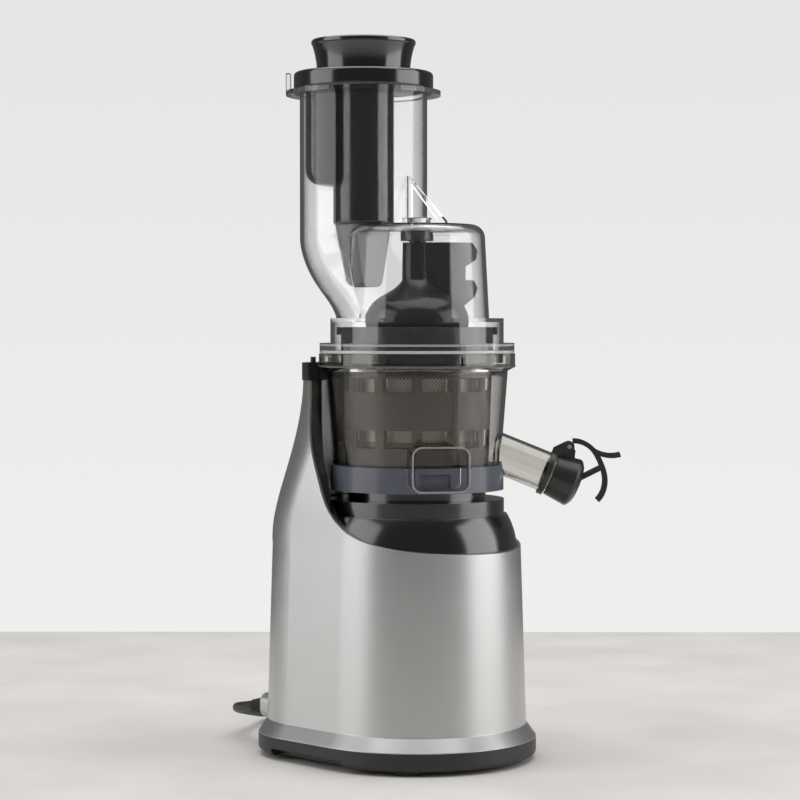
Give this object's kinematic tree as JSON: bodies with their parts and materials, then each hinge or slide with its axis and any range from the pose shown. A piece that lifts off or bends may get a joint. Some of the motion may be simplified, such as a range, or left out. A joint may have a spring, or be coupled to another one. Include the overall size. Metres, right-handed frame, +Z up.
{
  "type": "cold press juicer",
  "caption": "Upright slow juicer with a tall smoky juicing bowl, clear lid with an offset feed chute, black pusher, hinged juice cap and silver D-shaped body.",
  "frame": {"origin": "where the drive axis meets the surface that the juicer stands on", "axes": "+Z up along the drive axis; -Y is the front; +Y is the rear, where the feed chute stands; +X is to the right of someone who faces the front"},
  "size_m": [0.2075, 0.3046, 0.484],
  "materials": {
    "silver": "satin metallic silver",
    "black_base": "fine matte black",
    "black_gloss": "polished black",
    "black_satin": "satin black",
    "silver_pad": "satin silver",
    "black_rubber": "soft matte black",
    "grey_rubber": "soft grey",
    "screw_steel": "zinc plated",
    "gear_steel": "machined",
    "lamination": "varnished laminations",
    "copper": "enamelled copper",
    "bronze": "sintered bronze",
    "cast_alloy": "die cast",
    "gearbox_plastic": "glass filled, dark grey",
    "fan_plastic": "moulded",
    "capacitor": "moulded case",
    "board": "lacquered board",
    "smoke": "clear smoky tint",
    "bowl_grey": "smooth grey",
    "cap_dark": "warm dark grey",
    "silicone": "soft translucent",
    "cage_plastic": "smooth dark",
    "wiper_silicone": "soft amber",
    "amber": "amber tint",
    "mesh_steel": "etched mesh",
    "auger_plastic": "satin dark",
    "clear": "clear, polished",
    "cord_black": "matte sheath"
  },
  "bodies": {
    "base": {"base_plate": "black_base", "feet": "black_rubber", "base_screws": "screw_steel", "housing_shell": "silver", "seat_cover": "black_gloss", "neck_cap": "black_satin", "interlock_switch": "black_satin", "motor_mounts": "black_rubber", "motor_frames": "cast_alloy", "motor_bolts": "screw_steel", "motor_bearings": "gear_steel", "stator": "lamination", "windings": "copper", "gearbox_housing": "gearbox_plastic", "gearbox_cover": "gearbox_plastic", "gearbox_screws": "screw_steel", "counter_bushes": "bronze", "output_bearings": "gear_steel", "output_seal": "black_rubber", "run_capacitor": "capacitor", "control_board": "board", "power_switch": "black_satin", "cord_gland": "silver_pad", "strain_relief": "black_rubber", "cord_lead": "cord_black", "cord_coil": "cord_black", "cord_tail": "cord_black", "mains_plug": "black_satin"},
    "rotor": {"rotor": "gear_steel", "cooling_fan": "fan_plastic", "motor_pinion": "gear_steel"},
    "countershaft": {"countershaft": "gear_steel", "cluster_gear": "gear_steel"},
    "output": {"output_shaft": "gear_steel", "output_gear": "gear_steel"},
    "interlock_pin": {"interlock_pin": "black_satin"},
    "rocker": {"rocker": "black_gloss"},
    "bowl": {"bowl_base": "bowl_grey", "bowl": "smoke", "bowl_shaft_seal": "silicone", "pulp_packing": "silicone", "spout_ring": "cap_dark", "cap_hinge_pin": "screw_steel", "strainer_frame": "amber", "strainer_mesh": "mesh_steel", "strainer_ring": "cage_plastic"},
    "juice_cap": {"juice_cap": "cap_dark", "cap_lever": "cap_dark", "cap_seal": "silicone"},
    "idler_left": {"idler_left": "cage_plastic"},
    "idler_right": {"idler_right": "cage_plastic"},
    "brush": {"brush_cage": "cage_plastic", "brush_wipers": "wiper_silicone"},
    "auger": {"auger": "auger_plastic", "auger_drive": "auger_plastic"},
    "lid": {"lid": "clear", "lid_gasket": "silicone", "lid_bush": "cap_dark"},
    "pusher": {"pusher": "black_gloss", "pusher_nose": "cap_dark"}
  },
  "joints": [
    {"name": "rotor_spin", "type": "hinge", "parent": "base", "child": "rotor", "pos_m": [0, 0, 0], "axis": [0, 0, 1], "continuous": true},
    {"name": "countershaft_spin", "type": "hinge", "parent": "base", "child": "countershaft", "pos_m": [0, 0.045, 0], "axis": [0, 0, 1], "continuous": true},
    {"name": "output_spin", "type": "hinge", "parent": "base", "child": "output", "pos_m": [0, 0, 0], "axis": [0, 0, 1], "continuous": true},
    {"name": "bowl_lift", "type": "slide", "parent": "base", "child": "bowl", "axis": [0, 0, 1], "range_m": [0, 0.08]},
    {"name": "auger_spin", "type": "hinge", "parent": "bowl", "child": "auger", "pos_m": [0, 0, 0], "axis": [0, 0, 1], "continuous": true},
    {"name": "idler_left_spin", "type": "hinge", "parent": "bowl", "child": "idler_left", "pos_m": [-0.0255, 0, 0], "axis": [0, 0, 1], "continuous": true},
    {"name": "idler_right_spin", "type": "hinge", "parent": "bowl", "child": "idler_right", "pos_m": [0.0255, 0, 0], "axis": [0, 0, 1], "continuous": true},
    {"name": "brush_spin", "type": "hinge", "parent": "bowl", "child": "brush", "pos_m": [0, 0, 0], "axis": [0, 0, 1], "continuous": true},
    {"name": "lid_turn", "type": "hinge", "parent": "bowl", "child": "lid", "pos_m": [0, 0, 0], "axis": [0, 0, 1], "range_deg": [0, 30]},
    {"name": "pusher_lift", "type": "slide", "parent": "lid", "child": "pusher", "axis": [0, 0, 1], "range_m": [0, 0.16]},
    {"name": "cap_swing", "type": "hinge", "parent": "bowl", "child": "juice_cap", "pos_m": [0.07197, -0.07197, 0.20871], "axis": [-0.7071, -0.7071, 0], "range_deg": [0, 75]},
    {"name": "pin_press", "type": "slide", "parent": "base", "child": "interlock_pin", "axis": [0, 0, -1], "range_m": [0, 0.003], "stiffness_N_per_m": 200, "springref_m": -0.003},
    {"name": "rocker_tilt", "type": "hinge", "parent": "base", "child": "rocker", "pos_m": [0, 0.095, 0.07], "axis": [1, 0, 0], "range_deg": [-10, 10]}
  ],
  "couplings": [
    {"joint": "countershaft_spin", "follows": "rotor_spin", "ratio": -0.2},
    {"joint": "output_spin", "follows": "rotor_spin", "ratio": 0.04},
    {"joint": "auger_spin", "follows": "rotor_spin", "ratio": 0.04},
    {"joint": "idler_left_spin", "follows": "rotor_spin", "ratio": -0.057143},
    {"joint": "idler_right_spin", "follows": "rotor_spin", "ratio": -0.057143},
    {"joint": "brush_spin", "follows": "rotor_spin", "ratio": -0.016667}
  ]
}
